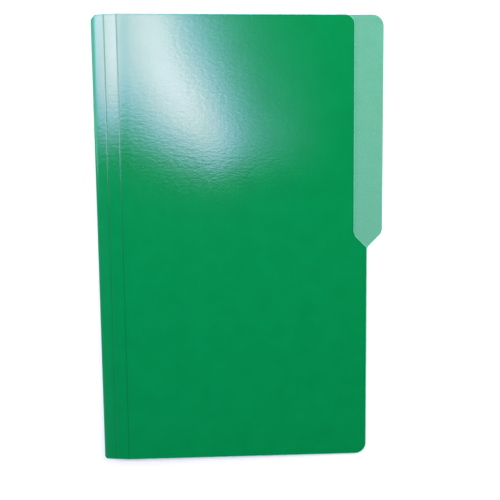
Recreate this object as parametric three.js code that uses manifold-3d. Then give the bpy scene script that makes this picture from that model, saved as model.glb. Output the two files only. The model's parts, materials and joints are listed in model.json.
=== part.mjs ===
// A legal-size file folder, lying closed on a table with its front cover up.
// It is one die-cut card blank, folded along its length, scored twice beside the fold
// and laminated outside with a gloss film. A half-cut tab stands out past the front cover.
// Millimetres. X runs from the fold to the tab, Y along the fold to the tab end, Z up.
import * as THREE from "three";
import { mergeVertices } from "three/addons/utils/BufferGeometryUtils.js";
import Module from "manifold-3d";

const wasm = await Module();
wasm.setup();

// Outline of the blank
const folderLength = 374.65; // along the fold
const coverWidth = 228.6; // from the fold to the free edge of either cover
const tabReach = 12.7; // how far the tab stands out past that edge
const tabLength = 180.3; // straight edge of the tab, measured from the folder's top end
const frontCutBack = 11.1; // how far the front cover's edge steps back beside the tab
const tabCornerRadius = 9.5;
const tabFootRadius = 8; // where the tab's edge turns into its slant
const tabRootRadius = 4; // where the slant runs into the cover's edge
const coverCornerRadius = 9.5; // the two free corners away from the tab
const frontCornerRadius = 8;
const notchRadius = 8; // where the front's stepped edge turns into its slant
const foldCornerCut = 3.4; // both ends of the fold are nipped off at 45 degrees

// Sheet
const cardThickness = 0.4;
const filmThickness = 0.05;
const glueLine = 0.01; // between card and film

// Fold and scores
const foldHeight = 3.6; // how high the folded edge stands, in two facets
const scorePitch = 11; // fold to first score, and first to second
const scoreWidth = 1.6;
const scoreDepth = 0.15; // pressed in outside, raised as a bead inside
const creaseGap = 0.1; // slit between two panels at a crease

// Rest pose
const innerStripRise = THREE.MathUtils.degToRad(8);
const outerStripRise = THREE.MathUtils.degToRad(6);
const coverRestGap = 0.3; // free edge of the front cover above the back cover

const cardColor = 0x6ebfa0;
const filmColor = 0x028e50;
const curveSteps = 8; // straight steps in each rounded corner
const trim = 1; // how far a rough layer runs past the outline that cuts it

const sheetThickness = filmThickness + glueLine + cardThickness;
const overallWidth = coverWidth + tabReach;
const facetHeight = foldHeight / 2;
const frontWidth = coverWidth - 2 * scorePitch;
const halfLength = folderLength / 2;
const tabFoot = halfLength - tabLength;
const tabRoot = tabFoot - tabReach; // tab and front notch meet the cover's edge here

// A crease turns the sheet by bend about a line that lies axisDepth under its outer face.
// sink is how deep the sheet is pressed in along it.
const backFold = { bend: Math.PI / 2, axisDepth: 0, sink: 0 };
const midFold = { bend: 0, axisDepth: 0, sink: 0 };
const topFold = { bend: Math.PI / 2 - innerStripRise, axisDepth: 0, sink: 0 };
const innerScore = {
  bend: innerStripRise - outerStripRise,
  axisDepth: sheetThickness + scoreDepth,
  sink: scoreDepth,
};
const outerScore = {
  bend: outerStripRise - frontRise(),
  axisDepth: scoreDepth,
  sink: scoreDepth,
};

// Slope of the front cover that leaves its free edge at coverRestGap above the back cover
function frontRise() {
  const shift = innerScore.axisDepth * (Math.cos(outerStripRise) - Math.cos(innerStripRise));
  const innerEnd = foldHeight + scorePitch * Math.sin(innerStripRise) + shift;
  const axisHeight = innerEnd + scorePitch * Math.sin(outerStripRise) - scoreDepth * Math.cos(outerStripRise);
  const drop = sheetThickness + coverRestGap - axisHeight;
  const depth = scoreDepth - sheetThickness;
  return Math.asin(drop / Math.hypot(frontWidth, depth)) - Math.atan2(depth, frontWidth);
}

// Closed outline through the corners in turn, each rounded to its own radius.
// The first two corners are sharp, because a path drops a start that runs straight into an arc.
function roundedOutline(corners) {
  const shape = new THREE.Shape();
  corners.forEach(([x, y, radius], i) => {
    const here = new THREE.Vector2(x, y);
    const [backX, backY] = corners.at(i - 1);
    const [nextX, nextY] = corners[(i + 1) % corners.length];
    const back = new THREE.Vector2(backX, backY).sub(here).normalize();
    const ahead = new THREE.Vector2(nextX, nextY).sub(here).normalize();
    const halfTurn = (Math.PI - back.angleTo(ahead)) / 2;
    const reach = radius * Math.tan(halfTurn);
    const middle = back.clone().add(ahead).setLength(radius / Math.cos(halfTurn)).add(here);
    const from = back.clone().multiplyScalar(reach).add(here).sub(middle);
    const to = ahead.clone().multiplyScalar(reach).add(here).sub(middle);
    if (radius > 0) {
      shape.absarc(middle.x, middle.y, radius, from.angle(), to.angle(), back.cross(ahead) > 0);
    } else if (i > 0) {
      shape.lineTo(x, y);
    } else {
      shape.moveTo(x, y);
    }
  });
  return shape;
}

// Back cover with its tab. x is measured from the fold, and the top end is towards -y,
// because this cover is laid outer face down.
function backCoverOutline() {
  return roundedOutline([
    [-trim, foldCornerCut + trim - halfLength, 0],
    [foldCornerCut, -halfLength, 0],
    [overallWidth, -halfLength, tabCornerRadius],
    [overallWidth, -tabFoot, tabFootRadius],
    [coverWidth, -tabRoot, tabRootRadius],
    [coverWidth, halfLength, coverCornerRadius],
    [foldCornerCut, halfLength, 0],
    [-trim, halfLength - foldCornerCut - trim, 0],
  ]);
}

// Front cover with its stepped edge. x is measured from the second score.
function frontCoverOutline() {
  return roundedOutline([
    [-trim, halfLength, 0],
    [-trim, -halfLength, 0],
    [frontWidth, -halfLength, coverCornerRadius],
    [frontWidth, tabRoot, 0],
    [frontWidth - frontCutBack, tabRoot + frontCutBack, notchRadius],
    [frontWidth - frontCutBack, halfLength, frontCornerRadius],
  ]);
}

// Strip between the fold and the first score
function innerStripOutline() {
  return roundedOutline([
    [-trim, foldCornerCut + trim - halfLength, 0],
    [foldCornerCut, -halfLength, 0],
    [scorePitch + trim, -halfLength, 0],
    [scorePitch + trim, halfLength, 0],
    [foldCornerCut, halfLength, 0],
    [-trim, halfLength - foldCornerCut - trim, 0],
  ]);
}

function rectangleOutline(width, length) {
  return roundedOutline([
    [-trim, -length / 2, 0],
    [width + trim, -length / 2, 0],
    [width + trim, length / 2, 0],
    [-trim, length / 2, 0],
  ]);
}

// End of a layer at a crease, outer face first: distance from the crease line and height.
// Ends are mitred below the crease's axis so that the panels clear each other when bent.
function layerEnd(crease, outerDepth, innerDepth) {
  const end = [outerDepth, innerDepth].map((depth) => {
    const sunk = depth + crease.sink;
    const mitre = Math.max(0, sunk - crease.axisDepth) * Math.tan(crease.bend / 2);
    return new THREE.Vector2(creaseGap / 2 + mitre, -sunk);
  });
  if (crease.sink > 0) {
    end.unshift(new THREE.Vector2(scoreWidth / 2, -outerDepth));
    end.push(new THREE.Vector2(scoreWidth / 2, -innerDepth));
  }
  return end;
}

// Section of one layer across the folder, with its outer face at outerDepth below zero
function layerSection(width, start, end, outerDepth, innerDepth) {
  const near = layerEnd(start, outerDepth, innerDepth);
  const far = end
    ? layerEnd(end, outerDepth, innerDepth)
    : [new THREE.Vector2(-trim, -outerDepth), new THREE.Vector2(-trim, -innerDepth)];
  far.forEach((point) => (point.x = width - point.x));
  return new THREE.Shape([...far, ...near.reverse()]);
}

function solidFrom(geometry) {
  geometry.deleteAttribute("normal");
  geometry.deleteAttribute("uv");
  const merged = mergeVertices(geometry, 1e-5);
  return new wasm.Manifold(
    new wasm.Mesh({
      numProp: 3,
      vertProperties: merged.attributes.position.array,
      triVerts: new Uint32Array(merged.index.array),
    }),
  );
}

function geometryFrom(solid) {
  const mesh = solid.getMesh();
  const geometry = new THREE.BufferGeometry();
  geometry.setAttribute("position", new THREE.BufferAttribute(mesh.vertProperties, 3));
  geometry.setIndex(new THREE.BufferAttribute(mesh.triVerts, 1));
  geometry.computeVertexNormals();
  return geometry;
}

// One layer of a panel: its section run along the fold, then die-cut to the outline
function layer(section, outline) {
  const rough = new THREE.ExtrudeGeometry(section, { depth: folderLength + 2 * trim, bevelEnabled: false });
  rough.rotateX(Math.PI / 2);
  rough.translate(0, halfLength + trim, 0);
  const cutterDepth = sheetThickness + scoreDepth + 2 * trim;
  const cutter = new THREE.ExtrudeGeometry(outline, {
    depth: cutterDepth,
    bevelEnabled: false,
    curveSegments: curveSteps,
  });
  cutter.translate(0, 0, trim - cutterDepth);
  return geometryFrom(solidFrom(rough).intersect(solidFrom(cutter)));
}

// Card and film of one panel, in the panel's frame: outer face at z = 0 and facing +z
function addPanel(frame, name, width, start, end, outline) {
  const film = new THREE.Mesh(
    layer(layerSection(width, start, end, 0, filmThickness), outline),
    new THREE.MeshStandardMaterial({ color: filmColor, roughness: 0.22, metalness: 0 }),
  );
  film.name = name + "_film";
  const card = new THREE.Mesh(
    layer(layerSection(width, start, end, filmThickness + glueLine, sheetThickness), outline),
    new THREE.MeshStandardMaterial({ color: cardColor, roughness: 0.85, metalness: 0 }),
  );
  card.name = name + "_card";
  frame.add(card, film);
}

// Frame of the next panel, hung on the crease at the far end of the one before
function foldOn(frame, width, crease, name) {
  const hinge = new THREE.Group();
  hinge.name = name;
  hinge.position.set(width, 0, -crease.axisDepth);
  hinge.rotation.y = crease.bend;
  const panel = new THREE.Group();
  panel.position.z = crease.axisDepth;
  hinge.add(panel);
  frame.add(hinge);
  return panel;
}

const folder = new THREE.Group();

// The back cover lies outer face down, with the fold at its low-x edge
const backFrame = new THREE.Group();
backFrame.position.x = -overallWidth / 2;
backFrame.rotation.x = Math.PI;
addPanel(backFrame, "back_cover", overallWidth, backFold, null, backCoverOutline());

// From here on the sheet runs up the fold and back over the cover
const foldFrame = new THREE.Group();
foldFrame.position.x = -overallWidth / 2;
foldFrame.rotation.y = -Math.PI;
const lowerFrame = foldOn(foldFrame, 0, backFold, "back_fold");
const upperFrame = foldOn(lowerFrame, facetHeight, midFold, "mid_fold");
const innerFrame = foldOn(upperFrame, facetHeight, topFold, "top_fold");
const outerFrame = foldOn(innerFrame, scorePitch, innerScore, "inner_score");
const frontFrame = foldOn(outerFrame, scorePitch, outerScore, "outer_score");

const facetOutline = rectangleOutline(facetHeight, folderLength - 2 * foldCornerCut);
addPanel(lowerFrame, "fold_lower", facetHeight, backFold, midFold, facetOutline);
addPanel(upperFrame, "fold_upper", facetHeight, midFold, topFold, facetOutline);
addPanel(innerFrame, "inner_strip", scorePitch, topFold, innerScore, innerStripOutline());
const outerStripOutline = rectangleOutline(scorePitch, folderLength);
addPanel(outerFrame, "outer_strip", scorePitch, innerScore, outerScore, outerStripOutline);
addPanel(frontFrame, "front_cover", frontWidth, outerScore, null, frontCoverOutline());

folder.add(backFrame, foldFrame);

export default folder;
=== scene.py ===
import json
import math

import bmesh
import bpy
from mathutils import Matrix, Vector
from mathutils.geometry import interpolate_bezier
from mathutils.noise import noise

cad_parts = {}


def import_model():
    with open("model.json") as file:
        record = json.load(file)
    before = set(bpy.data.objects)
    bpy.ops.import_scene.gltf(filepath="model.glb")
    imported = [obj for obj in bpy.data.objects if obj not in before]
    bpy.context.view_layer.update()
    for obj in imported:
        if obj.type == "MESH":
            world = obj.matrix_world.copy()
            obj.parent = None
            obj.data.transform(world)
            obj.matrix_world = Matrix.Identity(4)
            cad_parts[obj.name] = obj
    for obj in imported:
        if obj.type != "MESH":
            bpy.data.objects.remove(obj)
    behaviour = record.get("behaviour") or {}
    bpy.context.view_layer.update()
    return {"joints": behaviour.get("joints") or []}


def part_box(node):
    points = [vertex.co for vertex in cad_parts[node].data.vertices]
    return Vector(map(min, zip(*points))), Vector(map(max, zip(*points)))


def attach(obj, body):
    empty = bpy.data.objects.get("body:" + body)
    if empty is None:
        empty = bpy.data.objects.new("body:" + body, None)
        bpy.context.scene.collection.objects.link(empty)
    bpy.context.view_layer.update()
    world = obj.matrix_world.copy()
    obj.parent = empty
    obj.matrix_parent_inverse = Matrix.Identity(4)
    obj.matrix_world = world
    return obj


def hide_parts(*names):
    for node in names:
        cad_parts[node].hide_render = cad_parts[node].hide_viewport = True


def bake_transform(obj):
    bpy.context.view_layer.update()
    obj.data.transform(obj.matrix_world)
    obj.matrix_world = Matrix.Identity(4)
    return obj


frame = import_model()
print("frame loaded")

# The folder is one creased blank: dyed card with a gloss film over its outer face.
# Everything is in metres, +y is the folder's top end, and the creases are the frame's joints.
sheet = {
    "film": 0.00005,
    "glueLine": 0.00001,
    "card": 0.0004,
    "foldCornerCut": {1: 0.0034, -1: 0.0014},  # nips at 45 degrees, at the top and lower end
    "sharpAngle": 40,  # edges that turn further, in degrees, are shaded sharp
}

# Cut edges are pressed down by the die: distance from the edge, and how far down
pressedRings = [(0, 0.00016), (0.00018, 0.00008), (0.0006, 0.00003), (0.0018, 0)]
ringDistances = [distance for distance, press in pressedRings[1:]]
filmSetBack = ringDistances[1]  # the film stops this far from a cut edge
innerPress = 0.3  # share of the press that shows on the inner face

sheetThickness = sheet["film"] + sheet["glueLine"] + sheet["card"]
creases = {joint["name"]: Vector(joint["pos_m"]) for joint in frame["joints"]}
turns = {joint["name"]: math.radians(joint["range_deg"][1]) for joint in frame["joints"]}
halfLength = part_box("back_cover_card")[1].y
foldX = creases["spine_expand"].x


def along(rise):
    return Vector((math.cos(rise), 0, math.sin(rise)))


def outward(rise):
    return Vector((-math.sin(rise), 0, math.cos(rise)))


# Material tools

def connect(tree, node, inputs):
    for name, value in inputs.items():
        if isinstance(value, bpy.types.NodeSocket):
            tree.links.new(value, node.inputs[name])
        else:
            node.inputs[name].default_value = value


def addNode(tree, kind, inputs=None, **settings):
    node = tree.nodes.new("ShaderNode" + kind)
    for name, value in settings.items():
        setattr(node, name, value)
    connect(tree, node, inputs or {})
    return node


def calculate(tree, operation, *values):
    return addNode(tree, "Math", dict(enumerate(values)), operation=operation).outputs[0]


def remap(tree, value, low, high, newLow, newHigh):
    inputs = {"Value": value, "From Min": low, "From Max": high}
    inputs.update({"To Min": newLow, "To Max": newHigh})
    return addNode(tree, "MapRange", inputs).outputs[0]


def smoothMap(tree, value, low, high):
    inputs = {"Value": value, "From Min": low, "From Max": high}
    return addNode(tree, "MapRange", inputs, interpolation_type="SMOOTHSTEP").outputs[0]


def blendColor(tree, factor, first, second):
    node = addNode(tree, "Mix", data_type="RGBA")
    ends = [end if isinstance(end, bpy.types.NodeSocket) else (*end, 1) for end in (first, second)]
    connect(tree, node, {0: factor, 6: ends[0], 7: ends[1]})
    return node.outputs[2]


def addNoise(tree, place, scale, detail, roughness=0.5, distortion=0):
    inputs = {"Vector": place, "Scale": scale, "Detail": detail}
    inputs.update({"Roughness": roughness, "Distortion": distortion})
    return addNode(tree, "TexNoise", inputs).outputs[0]


def stretchMap(tree, place, scale):
    return addNode(tree, "Mapping", {"Vector": place, "Scale": scale}).outputs[0]


def addBump(tree, height, distance, below=None):
    node = addNode(tree, "Bump", {"Height": height, "Distance": distance})
    if below:
        tree.links.new(below, node.inputs["Normal"])
    return node.outputs[0]


def blankMap(tree):
    return addNode(tree, "UVMap", uv_map="blank").outputs[0]


def painted(tree, layer):
    return addNode(tree, "Attribute", attribute_name=layer).outputs["Fac"]


def newGroup(name, inputs, outputs):
    group = bpy.data.node_groups.new(name, "ShaderNodeTree")
    for title, kind in inputs.items():
        group.interface.new_socket(title, in_out="INPUT", socket_type="NodeSocket" + kind)
    for title in outputs:
        group.interface.new_socket(title, in_out="OUTPUT", socket_type="NodeSocketFloat")
    given = group.nodes.new("NodeGroupInput").outputs
    wanted = group.nodes.new("NodeGroupOutput").inputs
    return group, given, wanted


def placeGroup(tree, group, inputs):
    node = addNode(tree, "Group", node_tree=group)
    connect(tree, node, inputs)
    return node.outputs


boardLook = {
    "cloudDetail": 3,
    "fibreDetail": 4,
    "fibreDistortion": 0.7,
    "fibreStretch": (1, 0.3, 1),
    "cloudShare": 0.2,  # of the relief
    "fibreShare": 0.8,
    "breakupDetail": 3,
    "breakupRange": (0.3, 0.55),  # noise values over which wear goes from none to full
}
noiseRange = (0.3, 0.7)  # values that most of a noise lies between
filmLook = {
    "cloudScale": 55,  # noise scales are per metre
    "fibreScale": 1400,
    "breakupScale": 900,
    "darkGreen": (0.0004, 0.27, 0.065),
    "lightGreen": (0.001, 0.322, 0.084),
    "rubbedGreen": (0.05, 0.4, 0.18),
    # painted shade: the colour that stands in for shade in the score furrows and along the film's
    # cut edges
    "pressedGreen": (0.0004, 0.19, 0.058),
    "roughness": (0.1, 0.14),
    "pressedRoughness": 0.2,
    "specular": 0.85,
    "fibreHeight": 0.000003,
    "reliefDetail": 2,
    "relief": {  # height, scale, stretch, roughness and distortion of each noise
        "wrinkles": (0.000019, 460, (0.22, 1, 1), 0.5, 0.8),
        "streaks": (0.00001, 450, (1, 0.04, 1), 0.5, 0),
        "orangePeel": (0.000046, 340, (0.75, 1.25, 1), 0.45, 0.5),
    },
}
cardLook = {
    "cloudScale": 90,
    "fibreScale": 2200,
    "breakupScale": 500,
    "darkGreen": (0.126, 0.45, 0.268),
    "lightGreen": (0.154, 0.505, 0.312),
    "fleckGreen": (0.22, 0.58, 0.43),
    "fleckRange": (0.56, 0.72),  # fibre values over which a fleck appears
    "rubbedGreen": (0.15, 0.82, 0.54),
    "roughness": (0.8, 0.93),
    "specular": 0.35,
    "fibreHeight": 0.00002,
}


def paperFibreGroup():
    # Board seen close: cloudy density, and fibres that mostly run along the fold
    inputs = {"Vector": "Vector", "Cloud Scale": "Float", "Fibre Scale": "Float"}
    group, given, wanted = newGroup("paperFibre", inputs, ["Cloud", "Fibre", "Height"])
    cloud = addNoise(group, given["Vector"], given["Cloud Scale"], boardLook["cloudDetail"])
    fibre = addNoise(
        group,
        stretchMap(group, given["Vector"], boardLook["fibreStretch"]),
        given["Fibre Scale"],
        boardLook["fibreDetail"],
        distortion=boardLook["fibreDistortion"],
    )
    tooth = calculate(group, "MULTIPLY", fibre, boardLook["fibreShare"])
    height = calculate(group, "MULTIPLY_ADD", cloud, boardLook["cloudShare"], tooth)
    for title, result in {"Cloud": cloud, "Fibre": fibre, "Height": height}.items():
        group.links.new(result, wanted[title])
    return group


def rubbedEdgeGroup():
    # Wear painted on the mesh, broken up so that it isn't an even line
    inputs = {"Vector": "Vector", "Wear": "Float", "Breakup Scale": "Float"}
    group, given, wanted = newGroup("rubbedEdge", inputs, ["Mask"])
    specks = addNoise(group, given["Vector"], given["Breakup Scale"], boardLook["breakupDetail"])
    rubbed = remap(group, specks, *boardLook["breakupRange"], 0, 1)
    group.links.new(calculate(group, "MULTIPLY", rubbed, given["Wear"]), wanted["Mask"])
    return group


paperFibre = paperFibreGroup()
rubbedEdge = rubbedEdgeGroup()


def startMaterial(name, look):
    material = bpy.data.materials.new(name)
    material.use_nodes = True
    tree = material.node_tree
    place = blankMap(tree)
    grain = {"Vector": place, "Cloud Scale": look["cloudScale"], "Fibre Scale": look["fibreScale"]}
    board = placeGroup(tree, paperFibre, grain)
    wear = painted(tree, "wear")
    breakup = {"Vector": place, "Wear": wear, "Breakup Scale": look["breakupScale"]}
    rubbed = placeGroup(tree, rubbedEdge, breakup)["Mask"]
    base = blendColor(tree, board["Cloud"], look["darkGreen"], look["lightGreen"])
    bump = addBump(tree, board["Height"], look["fibreHeight"])
    return material, tree, board, rubbed, base, bump


def filmMaterial():
    material, tree, board, rubbed, printed, bump = startMaterial("glossFilm", filmLook)
    place = blankMap(tree)
    for height, scale, stretch, roughness, distortion in filmLook["relief"].values():
        spread = stretchMap(tree, place, stretch)
        relief = addNoise(tree, spread, scale, filmLook["reliefDetail"], roughness, distortion)
        bump = addBump(tree, relief, height, bump)
    pressed = painted(tree, "pressed")
    sound = remap(tree, board["Fibre"], *noiseRange, *filmLook["roughness"])
    # Painted shade: the score furrows and the film's cut edges are darkened in colour, and dulled,
    # where the pressed shade mask is set
    printedAndShaded = blendColor(tree, pressed, printed, filmLook["pressedGreen"])
    connect(tree, tree.nodes["Principled BSDF"], {
        "Base Color": blendColor(tree, rubbed, printedAndShaded, filmLook["rubbedGreen"]),
        "Roughness": remap(tree, pressed, 0, 1, sound, filmLook["pressedRoughness"]),
        "Specular IOR Level": filmLook["specular"],
        "Normal": bump,
    })
    return material


def cardMaterial():
    material, tree, board, rubbed, dyed, bump = startMaterial("dyedCard", cardLook)
    flecks = remap(tree, board["Fibre"], *cardLook["fleckRange"], 0, 1)
    flecked = blendColor(tree, flecks, dyed, cardLook["fleckGreen"])
    connect(tree, tree.nodes["Principled BSDF"], {
        "Base Color": blendColor(tree, rubbed, flecked, cardLook["rubbedGreen"]),
        "Roughness": remap(tree, board["Fibre"], *noiseRange, *cardLook["roughness"]),
        "Specular IOR Level": cardLook["specular"],
        "Normal": bump,
    })
    return material


materials = {"film": filmMaterial(), "card": cardMaterial()}
print("materials ready")


# Sheet tools. An open sheet is the folder's outer face, and each layer is made from it.

def newSheet():
    bm = bmesh.new()
    layers = {
        "run": bm.verts.layers.float.new("run"),  # distance over the blank, across the fold
        "edge": bm.verts.layers.float.new("edge"),  # distance from the nearest cut edge
        "wear": bm.verts.layers.float.new("wear"),
        "pressed": bm.verts.layers.float.new("pressed"),
        "out": bm.verts.layers.float_vector.new("out"),
    }
    return bm, layers


def cutPlane(bm, place, normal, clear=False):
    bmesh.ops.bisect_plane(
        bm,
        geom=bm.verts[:] + bm.edges[:] + bm.faces[:],
        dist=1e-7,
        plane_co=place,
        plane_no=normal,
        clear_outer=clear,
    )


def turnOutward(bm, wanted):
    # Judged by the whole sheet, because the order of new faces can change from run to run
    bm.normal_update()
    if sum(face.normal.dot(wanted) * face.calc_area() for face in bm.faces) < 0:
        bmesh.ops.reverse_faces(bm, faces=bm.faces[:])
        bm.normal_update()


def pressAt(distance):
    for (near, deep), (far, shallow) in zip(pressedRings, pressedRings[1:]):
        if distance < far:
            return deep + (shallow - deep) * (distance - near) / (far - near)
    return 0


def markRim(bm, layers, layer, rub):
    # Beside a cut edge the film is pressed dull and darkened with painted shade, and the bare card
    # outside it is rubbed
    mark, most = (layers["pressed"], 1) if layer == "film" else (layers["wear"], rub)
    for vertex in bm.verts:
        share = min(1, 2 - 2 * vertex[layers["edge"]] / ringDistances[-1])
        vertex[mark] = max(vertex[mark], share * most)


def thicken(bm, layers, layer):
    depth = sheet["film"] + sheet["glueLine"] if layer == "card" else 0
    for vertex in bm.verts:
        vertex[layers["out"]] = vertex.normal
    made = bmesh.ops.extrude_face_region(bm, geom=bm.faces[:], use_keep_orig=True)["geom"]
    inner = {element for element in made if isinstance(element, bmesh.types.BMVert)}
    for vertex in bm.verts:
        press = pressAt(vertex[layers["edge"]])
        sink = depth + (sheet[layer] + press * innerPress if vertex in inner else press)
        vertex.co -= vertex[layers["out"]] * sink
    bmesh.ops.recalc_face_normals(bm, faces=bm.faces[:])


def finishMesh(bm, layers, name, layer):
    sheetMap = bm.loops.layers.uv.new("blank")
    for face in bm.faces:
        face.smooth = True
        for loop in face.loops:
            loop[sheetMap].uv = (loop.vert[layers["run"]], loop.vert.co.y)
    sharp = math.radians(sheet["sharpAngle"])
    for edge in bm.edges:
        edge.smooth = len(edge.link_faces) == 2 and edge.calc_face_angle() < sharp
    mesh = bpy.data.meshes.new(name)
    bm.to_mesh(mesh)
    bm.free()
    mesh.materials.append(materials[layer])
    piece = bpy.data.objects.new(name, mesh)
    bpy.context.scene.collection.objects.link(piece)
    return piece


# Path of the outer face across the creases: from the back cover up round the fold,
# over the two scored strips and onto the front cover
spine = {
    "coverReach": 0.012,  # how far the creased pieces run out onto the flat covers
    "lowerRadius": 0.0007,
    "cornerSteps": 8,
    "facetSteps": 8,
    "curveReach": 0.0096,  # the sheet still curves this far over the inner strip
    "curvePull": 0.0046,
    "curveSteps": 20,
    "innerFlat": 0.01,
    "scoreDepth": 0.00015,  # how far the score presses the hinge lines down
    "furrowWidth": 0.0016,
    "furrowDepth": 0.00016,
    "furrowFade": 1.45,  # how quickly the pressed look, dullness and painted shade, fades towards the shoulders
    "scoreSteps": 8,
    "foldWear": 0.08,
    "rimWear": 0.5,
    "bendStart": 0.0001,  # the top crease starts to bend this far above the upper facet's middle
    "bendEnd": 0.0018,  # and is done this far out on the inner strip
    "scoreBend": 0.0005,  # a score bends over this much on either side
}
foldFoot = creases["spine_expand"]
topFold = creases["cover_open"]
midFold = (foldFoot + topFold) / 2
lowerMiddle = (foldFoot + midFold) / 2
upperMiddle = (midFold + topFold) / 2
innerRise = math.pi / 2 - turns["inner_score"]
frontRise = innerRise - turns["outer_score"]
innerDepth = sheetThickness + spine["scoreDepth"]

# The outer strip's slope and its two ends depend on each other, so they are found in turns
outerRise = 0
for tries in range(6):
    stripStart = creases["inner_score"] + outward(outerRise) * innerDepth
    stripEnd = creases["outer_score"] + outward(outerRise) * spine["scoreDepth"]
    outerRise = math.atan2((stripEnd - stripStart).z, (stripEnd - stripStart).x)
innerLine = creases["inner_score"] + outward((innerRise + outerRise) / 2) * innerDepth
outerLine = creases["outer_score"] + outward((outerRise + frontRise) / 2) * spine["scoreDepth"]


def backFoldPath():
    radius = spine["lowerRadius"]
    path = [(foldFoot + Vector((spine["coverReach"], 0, 0)), 0, 0)]
    for step in range(spine["cornerSteps"] + 1):
        turn = math.pi / 2 * step / spine["cornerSteps"]
        offset = Vector((radius - radius * math.sin(turn), 0, radius - radius * math.cos(turn)))
        path.append((foldFoot + offset, spine["foldWear"] * math.sin(turn * 2), 0))
    return path + [(lowerMiddle, 0, 0)]


def midFoldPath():
    steps = spine["facetSteps"]
    return [(lowerMiddle.lerp(upperMiddle, step / steps), 0, 0) for step in range(1, steps + 1)]


def topFoldPath():
    end = topFold + along(innerRise) * spine["curveReach"]
    pull = topFold + along(innerRise) * spine["curvePull"]
    curve = interpolate_bezier(upperMiddle, topFold, pull, end, spine["curveSteps"])[1:]
    path = []
    for step, place in enumerate(curve):
        path.append((place, spine["foldWear"] * math.sin(math.pi * step / len(curve)), 0))
    return path + [(topFold + along(innerRise) * spine["innerFlat"], 0, 0)]


def scorePath(line, riseBefore, riseAfter, end):
    # A furrow pressed into the outer face, with soft shoulders and painted shade along its middle
    half = spine["furrowWidth"] / 2
    path = []
    for step in range(-spine["scoreSteps"], spine["scoreSteps"] + 1):
        share = step / spine["scoreSteps"]
        rise = riseBefore if share < 0 else riseAfter
        depth = spine["furrowDepth"] * (1 + math.cos(math.pi * share)) / 2
        place = line + along(rise) * half * share - outward(rise) * depth
        # the last value is painted shade and dullness, strongest in the middle of the furrow
        path.append((place, 0, (1 - abs(share)) ** spine["furrowFade"]))
    return path + [(end, 0, 0)]


def spinePath():
    # Points of each creased piece: place, run over the blank, wear, pressed shade (painted shade
    # and dullness)
    frontEnd = outerLine + along(frontRise) * spine["coverReach"]
    parts = {
        "back_fold": backFoldPath(),
        "mid_fold": midFoldPath(),
        "top_fold": topFoldPath(),
        "inner_score": scorePath(innerLine, innerRise, outerRise, (innerLine + outerLine) / 2),
        "outer_score": scorePath(outerLine, outerRise, frontRise, frontEnd),
    }
    found = {}
    section = []
    run = 0
    for name, path in parts.items():
        section = section[-1:]
        for place, wear, pressed in path:
            if section:
                run += (place - section[-1][0]).length
            section.append((place, run, wear, pressed))
        found[name] = section
    return found, run


def edgeDistance(place):
    fromEnd = halfLength - abs(place.y)
    cut = sheet["foldCornerCut"][1 if place.y > 0 else -1]
    return min(fromEnd, (place.x - foldX + fromEnd - cut) / math.sqrt(2))


def creaseSheet(section, setBack):
    bm, layers = newSheet()
    reach = halfLength - setBack
    verts = []
    for place, run, wear, pressed in section:
        vertex = bm.verts.new((place.x, -reach, place.z))
        vertex[layers["run"]] = run
        vertex[layers["wear"]] = wear
        vertex[layers["pressed"]] = pressed
        verts.append(vertex)
    edges = [bm.edges.new(pair) for pair in zip(verts, verts[1:])]
    made = bmesh.ops.extrude_edge_only(bm, edges=edges)["geom"]
    farEnd = [element for element in made if isinstance(element, bmesh.types.BMVert)]
    bmesh.ops.translate(bm, verts=farEnd, vec=(0, 2 * reach, 0))
    heading = section[1][0] - section[0][0]
    turnOutward(bm, Vector((-heading.z, 0, heading.x)))
    for side in (-1, 1):
        nip = Vector((-1, side, 0)).normalized()
        nipPlace = Vector((foldX + sheet["foldCornerCut"][side], side * halfLength, 0))
        cutPlane(bm, nipPlace - nip * setBack, nip, clear=True)
        for distance in ringDistances:
            cutPlane(bm, Vector((0, side * (halfLength - distance), 0)), Vector((0, 1, 0)))
            cutPlane(bm, nipPlace - nip * distance, nip)
    for vertex in bm.verts:
        vertex[layers["edge"]] = edgeDistance(vertex.co)
    bm.normal_update()
    return bm, layers


def creasePiece(name, nodes, bodies):
    for layer in ("film", "card"):
        bm, layers = creaseSheet(sections[name], filmSetBack if layer == "film" else 0)
        markRim(bm, layers, layer, spine["rimWear"])
        thicken(bm, layers, layer)
        piece = finishMesh(bm, layers, name + "_" + layer, layer)
        if len(bodies) == 2:
            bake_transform(piece)
        else:
            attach(piece, bodies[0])
        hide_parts(*[node + "_" + layer for node in nodes])


sections, spineRun = spinePath()
lowerBodies = ["back_cover", "fold"]
upperBodies = ["fold", "inner_strip"]
strips = ["inner_strip", "outer_strip"]
outerPanels = ["outer_strip", "front_cover"]
creasePiece("back_fold", ["back_cover", "fold_lower"], lowerBodies)
creasePiece("mid_fold", ["fold_lower", "fold_upper"], ["fold"])
creasePiece("top_fold", ["fold_upper", "inner_strip"], upperBodies)
creasePiece("inner_score", strips, strips)
creasePiece("outer_score", outerPanels, outerPanels)
print("creased pieces made")

# Flat covers, drawn in their own plane: x away from the fold, y along it
cover = {
    "width": 0.2286,
    "tabReach": 0.0127,
    "tabLength": 0.1803,
    "frontCutBack": 0.0111,
    "tabCorner": 0.0095,
    "tabFoot": 0.008,
    "tabRoot": 0.004,
    "coverCorner": 0.0095,
    "frontCorner": 0.008,
    "notchCorner": 0.008,
    "cornerSteps": 12,
    "cell": 0.005,
    "waveHeight": 0.00012,
    "waveFade": 0.04,
    "waveScale": (22, 6),  # noise scale across the fold and along it
    "waveSeed": 0.3,
    "backRimWear": 0.15,
    "frontRimWear": 1,
}
tabFootY = halfLength - cover["tabLength"]
tabRootY = tabFootY - cover["tabReach"]


def largestFace(bm):
    return max(bm.faces, key=lambda face: face.calc_area())


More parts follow.
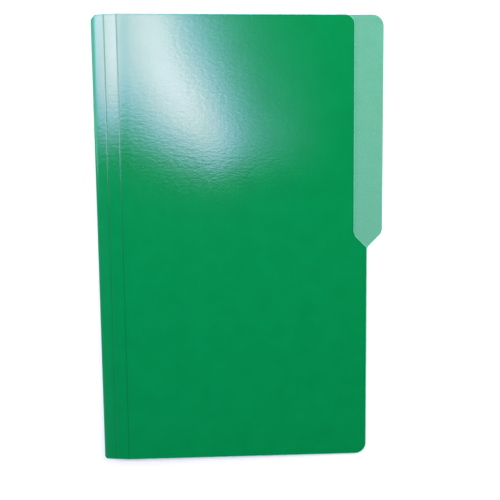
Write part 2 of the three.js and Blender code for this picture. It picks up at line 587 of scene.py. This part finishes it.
def coverSheet(corners, setBack):
    # corners are (x, y, radius), and each radius is rounded by a bevel of that vertex
    bm, layers = newSheet()
    verts = [bm.verts.new((x, y, 0)) for x, y, radius in corners]
    bm.faces.new(verts)
    for vertex, (x, y, radius) in zip(verts, corners):
        if radius:
            legs = [edge.other_vert(vertex).co - vertex.co for edge in vertex.link_edges]
            bmesh.ops.bevel(
                bm,
                geom=[vertex],
                offset=radius * math.tan((math.pi - legs[0].angle(legs[1])) / 2),
                segments=cover["cornerSteps"],
                profile=0.5,
                affect="VERTICES",
                material=-1,
            )
    reached = 0
    for distance in ringDistances:
        bmesh.ops.inset_region(
            bm,
            faces=[largestFace(bm)],
            thickness=distance - reached,
            use_boundary=True,
            use_even_offset=True,
        )
        for vertex in largestFace(bm).verts:
            vertex[layers["edge"]] = distance
        reached = distance
    if setBack:
        # A little less than the set back, because the layers are in single precision
        kept = setBack * 0.99
        outside = [face for face in bm.faces if any(v[layers["edge"]] < kept for v in face.verts)]
        bmesh.ops.delete(bm, geom=outside, context="FACES")
    return bm, layers


def gridCut(bm, cell):
    low = Vector([min(v.co[i] for v in bm.verts) for i in range(3)])
    high = Vector([max(v.co[i] for v in bm.verts) for i in range(3)])
    for axis in range(2):
        normal = Vector([float(axis == i) for i in range(3)])
        count = round((high[axis] - low[axis]) / cell)
        for step in range(1, count):
            cutPlane(bm, low + normal * (high[axis] - low[axis]) * step / count, normal)


def smoothRamp(value, start, end):
    share = min(max((value - start) / (end - start), 0), 1)
    return share * share * (3 - 2 * share)


def addWaves(bm, height):
    # Slight ripples, as stored card has, dying out towards the spine and every edge
    low = spine["coverReach"]
    high = max(v.co.x for v in bm.verts)
    fade = cover["waveFade"]
    scaleX, scaleY = cover["waveScale"]
    for vertex in bm.verts:
        x, y, z = vertex.co
        share = smoothRamp(x, low, low + fade) * (1 - smoothRamp(x, high - fade, high))
        share *= 1 - smoothRamp(abs(y), halfLength - fade, halfLength)
        vertex.co.z += height * share * noise(Vector((x * scaleX, y * scaleY, cover["waveSeed"])))


def coverPiece(name, corners, placing, startRun, heading, body, wave, rub):
    for layer in ("film", "card"):
        bm, layers = coverSheet(corners, filmSetBack if layer == "film" else 0)
        cutPlane(bm, Vector((spine["coverReach"], 0, 0)), Vector((-1, 0, 0)), clear=True)
        gridCut(bm, cover["cell"])
        addWaves(bm, wave)
        for vertex in bm.verts:
            vertex[layers["run"]] = startRun + heading * (vertex.co.x - spine["coverReach"])
        bmesh.ops.transform(bm, matrix=placing, verts=bm.verts[:])
        turnOutward(bm, placing.to_3x3() @ Vector((0, 0, 1)))
        markRim(bm, layers, layer, rub)
        thicken(bm, layers, layer)
        piece = finishMesh(bm, layers, name + "_" + layer, layer)
        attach(piece, body)
        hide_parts(body + "_" + layer)


def backCover():
    # Outer face down, so its plane is turned over and the top end lies towards -y
    width = cover["width"]
    corners = [
        (0, -halfLength, 0),
        (width + cover["tabReach"], -halfLength, cover["tabCorner"]),
        (width + cover["tabReach"], -tabFootY, cover["tabFoot"]),
        (width, -tabRootY, cover["tabRoot"]),
        (width, halfLength, cover["coverCorner"]),
        (0, halfLength, 0),
    ]
    placing = Matrix.Translation(foldFoot) @ Matrix.Rotation(math.pi, 4, "X")
    coverPiece("back_panel", corners, placing, 0, -1, "back_cover", 0, cover["backRimWear"])


def frontCover():
    width = (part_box("front_cover_film")[1].x - outerLine.x) / math.cos(frontRise)
    cut = cover["frontCutBack"]
    corners = [
        (0, -halfLength, 0),
        (width, -halfLength, cover["coverCorner"]),
        (width, tabRootY, 0),
        (width - cut, tabRootY + cut, cover["notchCorner"]),
        (width - cut, halfLength, cover["frontCorner"]),
        (0, halfLength, 0),
    ]
    placing = Matrix.Translation(outerLine) @ Matrix.Rotation(-frontRise, 4, "Y")
    wave = cover["waveHeight"]
    rub = cover["frontRimWear"]
    coverPiece("front_panel", corners, placing, spineRun, 1, "front_cover", wave, rub)


backCover()
frontCover()
print("covers made")

# Studio: pale floor, one graded softbox over the top left, wide soft fill from the sides
studio = {
    "floorSize": 3.0,
    "floorDrop": 0.0001,
    "floorColor": 0.8,
    "floorRoughness": 0.9,
    "floorSpecular": 0.1,
    "floorLift": 0.4,  # glow that only the camera sees
    "floorFade": (0.4, 1.4),  # distances over which it turns plain white
    "keyPlace": (-0.59, 0.52, 1.2),
    "keySize": (1.82, 0.84),
    "keyRadiance": 11.9,
    "sideSize": (1.0, 1.0),
    "rightPlace": (1.0, 0.75, 0.75),
    "rightRadiance": 3.7,
    "rightColor": (0.9, 1, 0.6),
    "leftPlace": (-1.1, 0.7, 0.7),
    "leftRadiance": 2.0,
    "leftColor": (0.42, 0.84, 1),
    "skyHeights": (0.15, 0.7),  # z of the direction: the room darkens from here to here
    "horizon": 0.7,
    "zenith": 0.01,
}

# How the softbox's light is spread over its panel, by world x and y
keyShape = {
    "color": (0.86, 0.67, 0.98),
    "fringe": (0.78, 0.96, 2.4),  # its colour where it fades
    "fringeEnd": 0.55,  # brightness at which its own colour is reached
    "leftFade": (-1.3, -0.64),
    "rightPoint": (-0.006, 0.22, 0),
    "rightNormal": (0.958, 0.287, 0),
    "rightStart": -0.06,  # the fade starts this far before the right edge
    "rightFade": 0.078,
    "lowerPoint": (0, 0.185, 0),
    "lowerNormal": (-0.609, -0.793, 0),
    "lowerEnds": (0.405, 0.205),  # y values at which the slanted lower edge turns level
    "lowerSoft": (0.07, 0.18),  # how soft that edge is at the x values below
    "lowerSoftPlaces": (0, -0.3),
    "topRange": (0.28, 0.55),  # y values over which the light falls off towards the upper edge
    "top": 0.74,  # what is left of it there
    "barX": -0.345,
    "barHalfWidth": 0.115,
    "bar": 0.5,  # what is left of the light in the middle of a darker upright bar
}


def cameraRay(tree):
    return addNode(tree, "LightPath").outputs["Is Camera Ray"]


def floor():
    bm = bmesh.new()
    bmesh.ops.create_grid(bm, x_segments=1, y_segments=1, size=studio["floorSize"])
    bmesh.ops.translate(bm, verts=bm.verts[:], vec=(0, 0, -studio["floorDrop"]))
    mesh = bpy.data.meshes.new("floor")
    bm.to_mesh(mesh)
    bm.free()
    piece = bpy.data.objects.new("floor", mesh)
    bpy.context.scene.collection.objects.link(piece)
    material = bpy.data.materials.new("paleFloor")
    material.use_nodes = True
    tree = material.node_tree
    shader = tree.nodes["Principled BSDF"]
    connect(tree, shader, {
        "Base Color": (*[studio["floorColor"]] * 3, 1),
        "Roughness": studio["floorRoughness"],
        "Specular IOR Level": studio["floorSpecular"],
        "Emission Color": (1, 1, 1, 1),
        "Emission Strength": calculate(tree, "MULTIPLY", cameraRay(tree), studio["floorLift"]),
    })
    # Far from the folder the floor turns plain white, so that it meets the backdrop
    place = addNode(tree, "TexCoord").outputs["Object"]
    distance = addNode(tree, "VectorMath", {0: place}, operation="LENGTH").outputs["Value"]
    faded = remap(tree, distance, *studio["floorFade"], 0, 1)
    far = calculate(tree, "MULTIPLY", faded, cameraRay(tree))
    white = addNode(tree, "Emission").outputs[0]
    mixed = addNode(tree, "MixShader", {0: far, 1: shader.outputs[0], 2: white})
    tree.links.new(mixed.outputs[0], tree.nodes["Material Output"].inputs["Surface"])
    mesh.materials.append(material)


def softbox(name, place, target, size, radiance, color):
    light = bpy.data.lights.new(name, "AREA")
    light.shape = "RECTANGLE"
    light.size, light.size_y = size
    light.energy = radiance * 4 * size[0] * size[1]
    light.color = color
    lamp = bpy.data.objects.new(name, light)
    lamp.location = place
    lamp.rotation_euler = (Vector(target) - Vector(place)).to_track_quat("-Z", "Y").to_euler()
    bpy.context.scene.collection.objects.link(lamp)
    return light


def sideDistance(tree, place, point, normal):
    offset = addNode(tree, "VectorMath", {0: place, 1: point}, operation="SUBTRACT").outputs[0]
    dot = addNode(tree, "VectorMath", {0: offset, 1: normal}, operation="DOT_PRODUCT")
    return dot.outputs["Value"]


def rightEdge(tree, place):
    side = sideDistance(tree, place, keyShape["rightPoint"], keyShape["rightNormal"])
    past = calculate(tree, "SUBTRACT", side, keyShape["rightStart"])
    slope = calculate(tree, "DIVIDE", past, -keyShape["rightFade"])
    return calculate(tree, "EXPONENT", calculate(tree, "MINIMUM", slope, 0))


def lowerEdge(tree, place, x, y):
    side = sideDistance(tree, place, keyShape["lowerPoint"], keyShape["lowerNormal"])
    belowHigh, belowLow = [calculate(tree, "SUBTRACT", end, y) for end in keyShape["lowerEnds"]]
    slant = calculate(tree, "MINIMUM", side, belowHigh)
    lower = calculate(tree, "MAXIMUM", slant, belowLow)
    soft = remap(tree, x, *keyShape["lowerSoftPlaces"], *keyShape["lowerSoft"])
    return smoothMap(tree, calculate(tree, "DIVIDE", lower, soft), 1, -1)


def darkBar(tree, x):
    offset = calculate(tree, "SUBTRACT", x, keyShape["barX"])
    distance = calculate(tree, "ABSOLUTE", offset)
    return remap(tree, distance, 0, keyShape["barHalfWidth"], keyShape["bar"], 1)


def shapeKey(light):
    light.use_nodes = True
    tree = light.node_tree
    place = addNode(tree, "NewGeometry").outputs["Position"]
    axes = addNode(tree, "SeparateXYZ", {0: place}).outputs
    sides = calculate(
        tree,
        "MULTIPLY",
        rightEdge(tree, place),
        smoothMap(tree, axes["X"], *keyShape["leftFade"]),
    )
    ends = calculate(
        tree,
        "MULTIPLY",
        remap(tree, axes["Y"], *keyShape["topRange"], 1, keyShape["top"]),
        lowerEdge(tree, place, axes["X"], axes["Y"]),
    )
    barred = calculate(tree, "MULTIPLY", sides, darkBar(tree, axes["X"]))
    share = calculate(tree, "MULTIPLY", barred, ends)
    core = remap(tree, share, 0, keyShape["fringeEnd"], 0, 1)
    color = blendColor(tree, core, keyShape["fringe"], keyShape["color"])
    connect(tree, tree.nodes["Emission"], {"Color": color, "Strength": share})


def lamps():
    place = studio["keyPlace"]
    below = (place[0], place[1], 0)
    white = (1, 1, 1)
    shapeKey(softbox("key", place, below, studio["keySize"], studio["keyRadiance"], white))
    for side in ("right", "left"):
        place, radiance, color = [studio[side + value] for value in ("Place", "Radiance", "Color")]
        softbox(side, place, (0, 0, 0), studio["sideSize"], radiance, color)


def world():
    made = bpy.data.worlds.new("studio")
    bpy.context.scene.world = made
    made.use_nodes = True
    tree = made.node_tree
    direction = addNode(tree, "TexCoord").outputs["Generated"]
    height = addNode(tree, "SeparateXYZ", {0: direction}).outputs["Z"]
    shade = remap(tree, height, *studio["skyHeights"], studio["horizon"], studio["zenith"])
    room = tree.nodes["Background"]
    connect(tree, room, {"Color": (1, 1, 1, 1), "Strength": shade})
    backdrop = addNode(tree, "Background", {"Color": (1, 1, 1, 1), "Strength": 1})
    shaders = {0: cameraRay(tree), 1: room.outputs[0], 2: backdrop.outputs[0]}
    mixed = addNode(tree, "MixShader", shaders)
    tree.links.new(mixed.outputs[0], tree.nodes["World Output"].inputs["Surface"])


shot = {
    "lens": 36,  # lens and sensor in millimetres
    "sensor": 36,
    "clipStart": 0.01,
    "place": (0.00291, 0.02477, 0.4261),
    "angles": (-4.242, -0.702, -0.619),
}


def camera():
    data = bpy.data.cameras.new("camera")
    data.sensor_width = shot["sensor"]
    data.lens = shot["lens"]
    data.clip_start = shot["clipStart"]
    view = bpy.data.objects.new("camera", data)
    view.location = shot["place"]
    view.rotation_euler = [math.radians(angle) for angle in shot["angles"]]
    bpy.context.scene.collection.objects.link(view)
    bpy.context.scene.camera = view


floor()
lamps()
world()
camera()
bpy.context.scene.view_settings.view_transform = "Standard"
print("studio set")
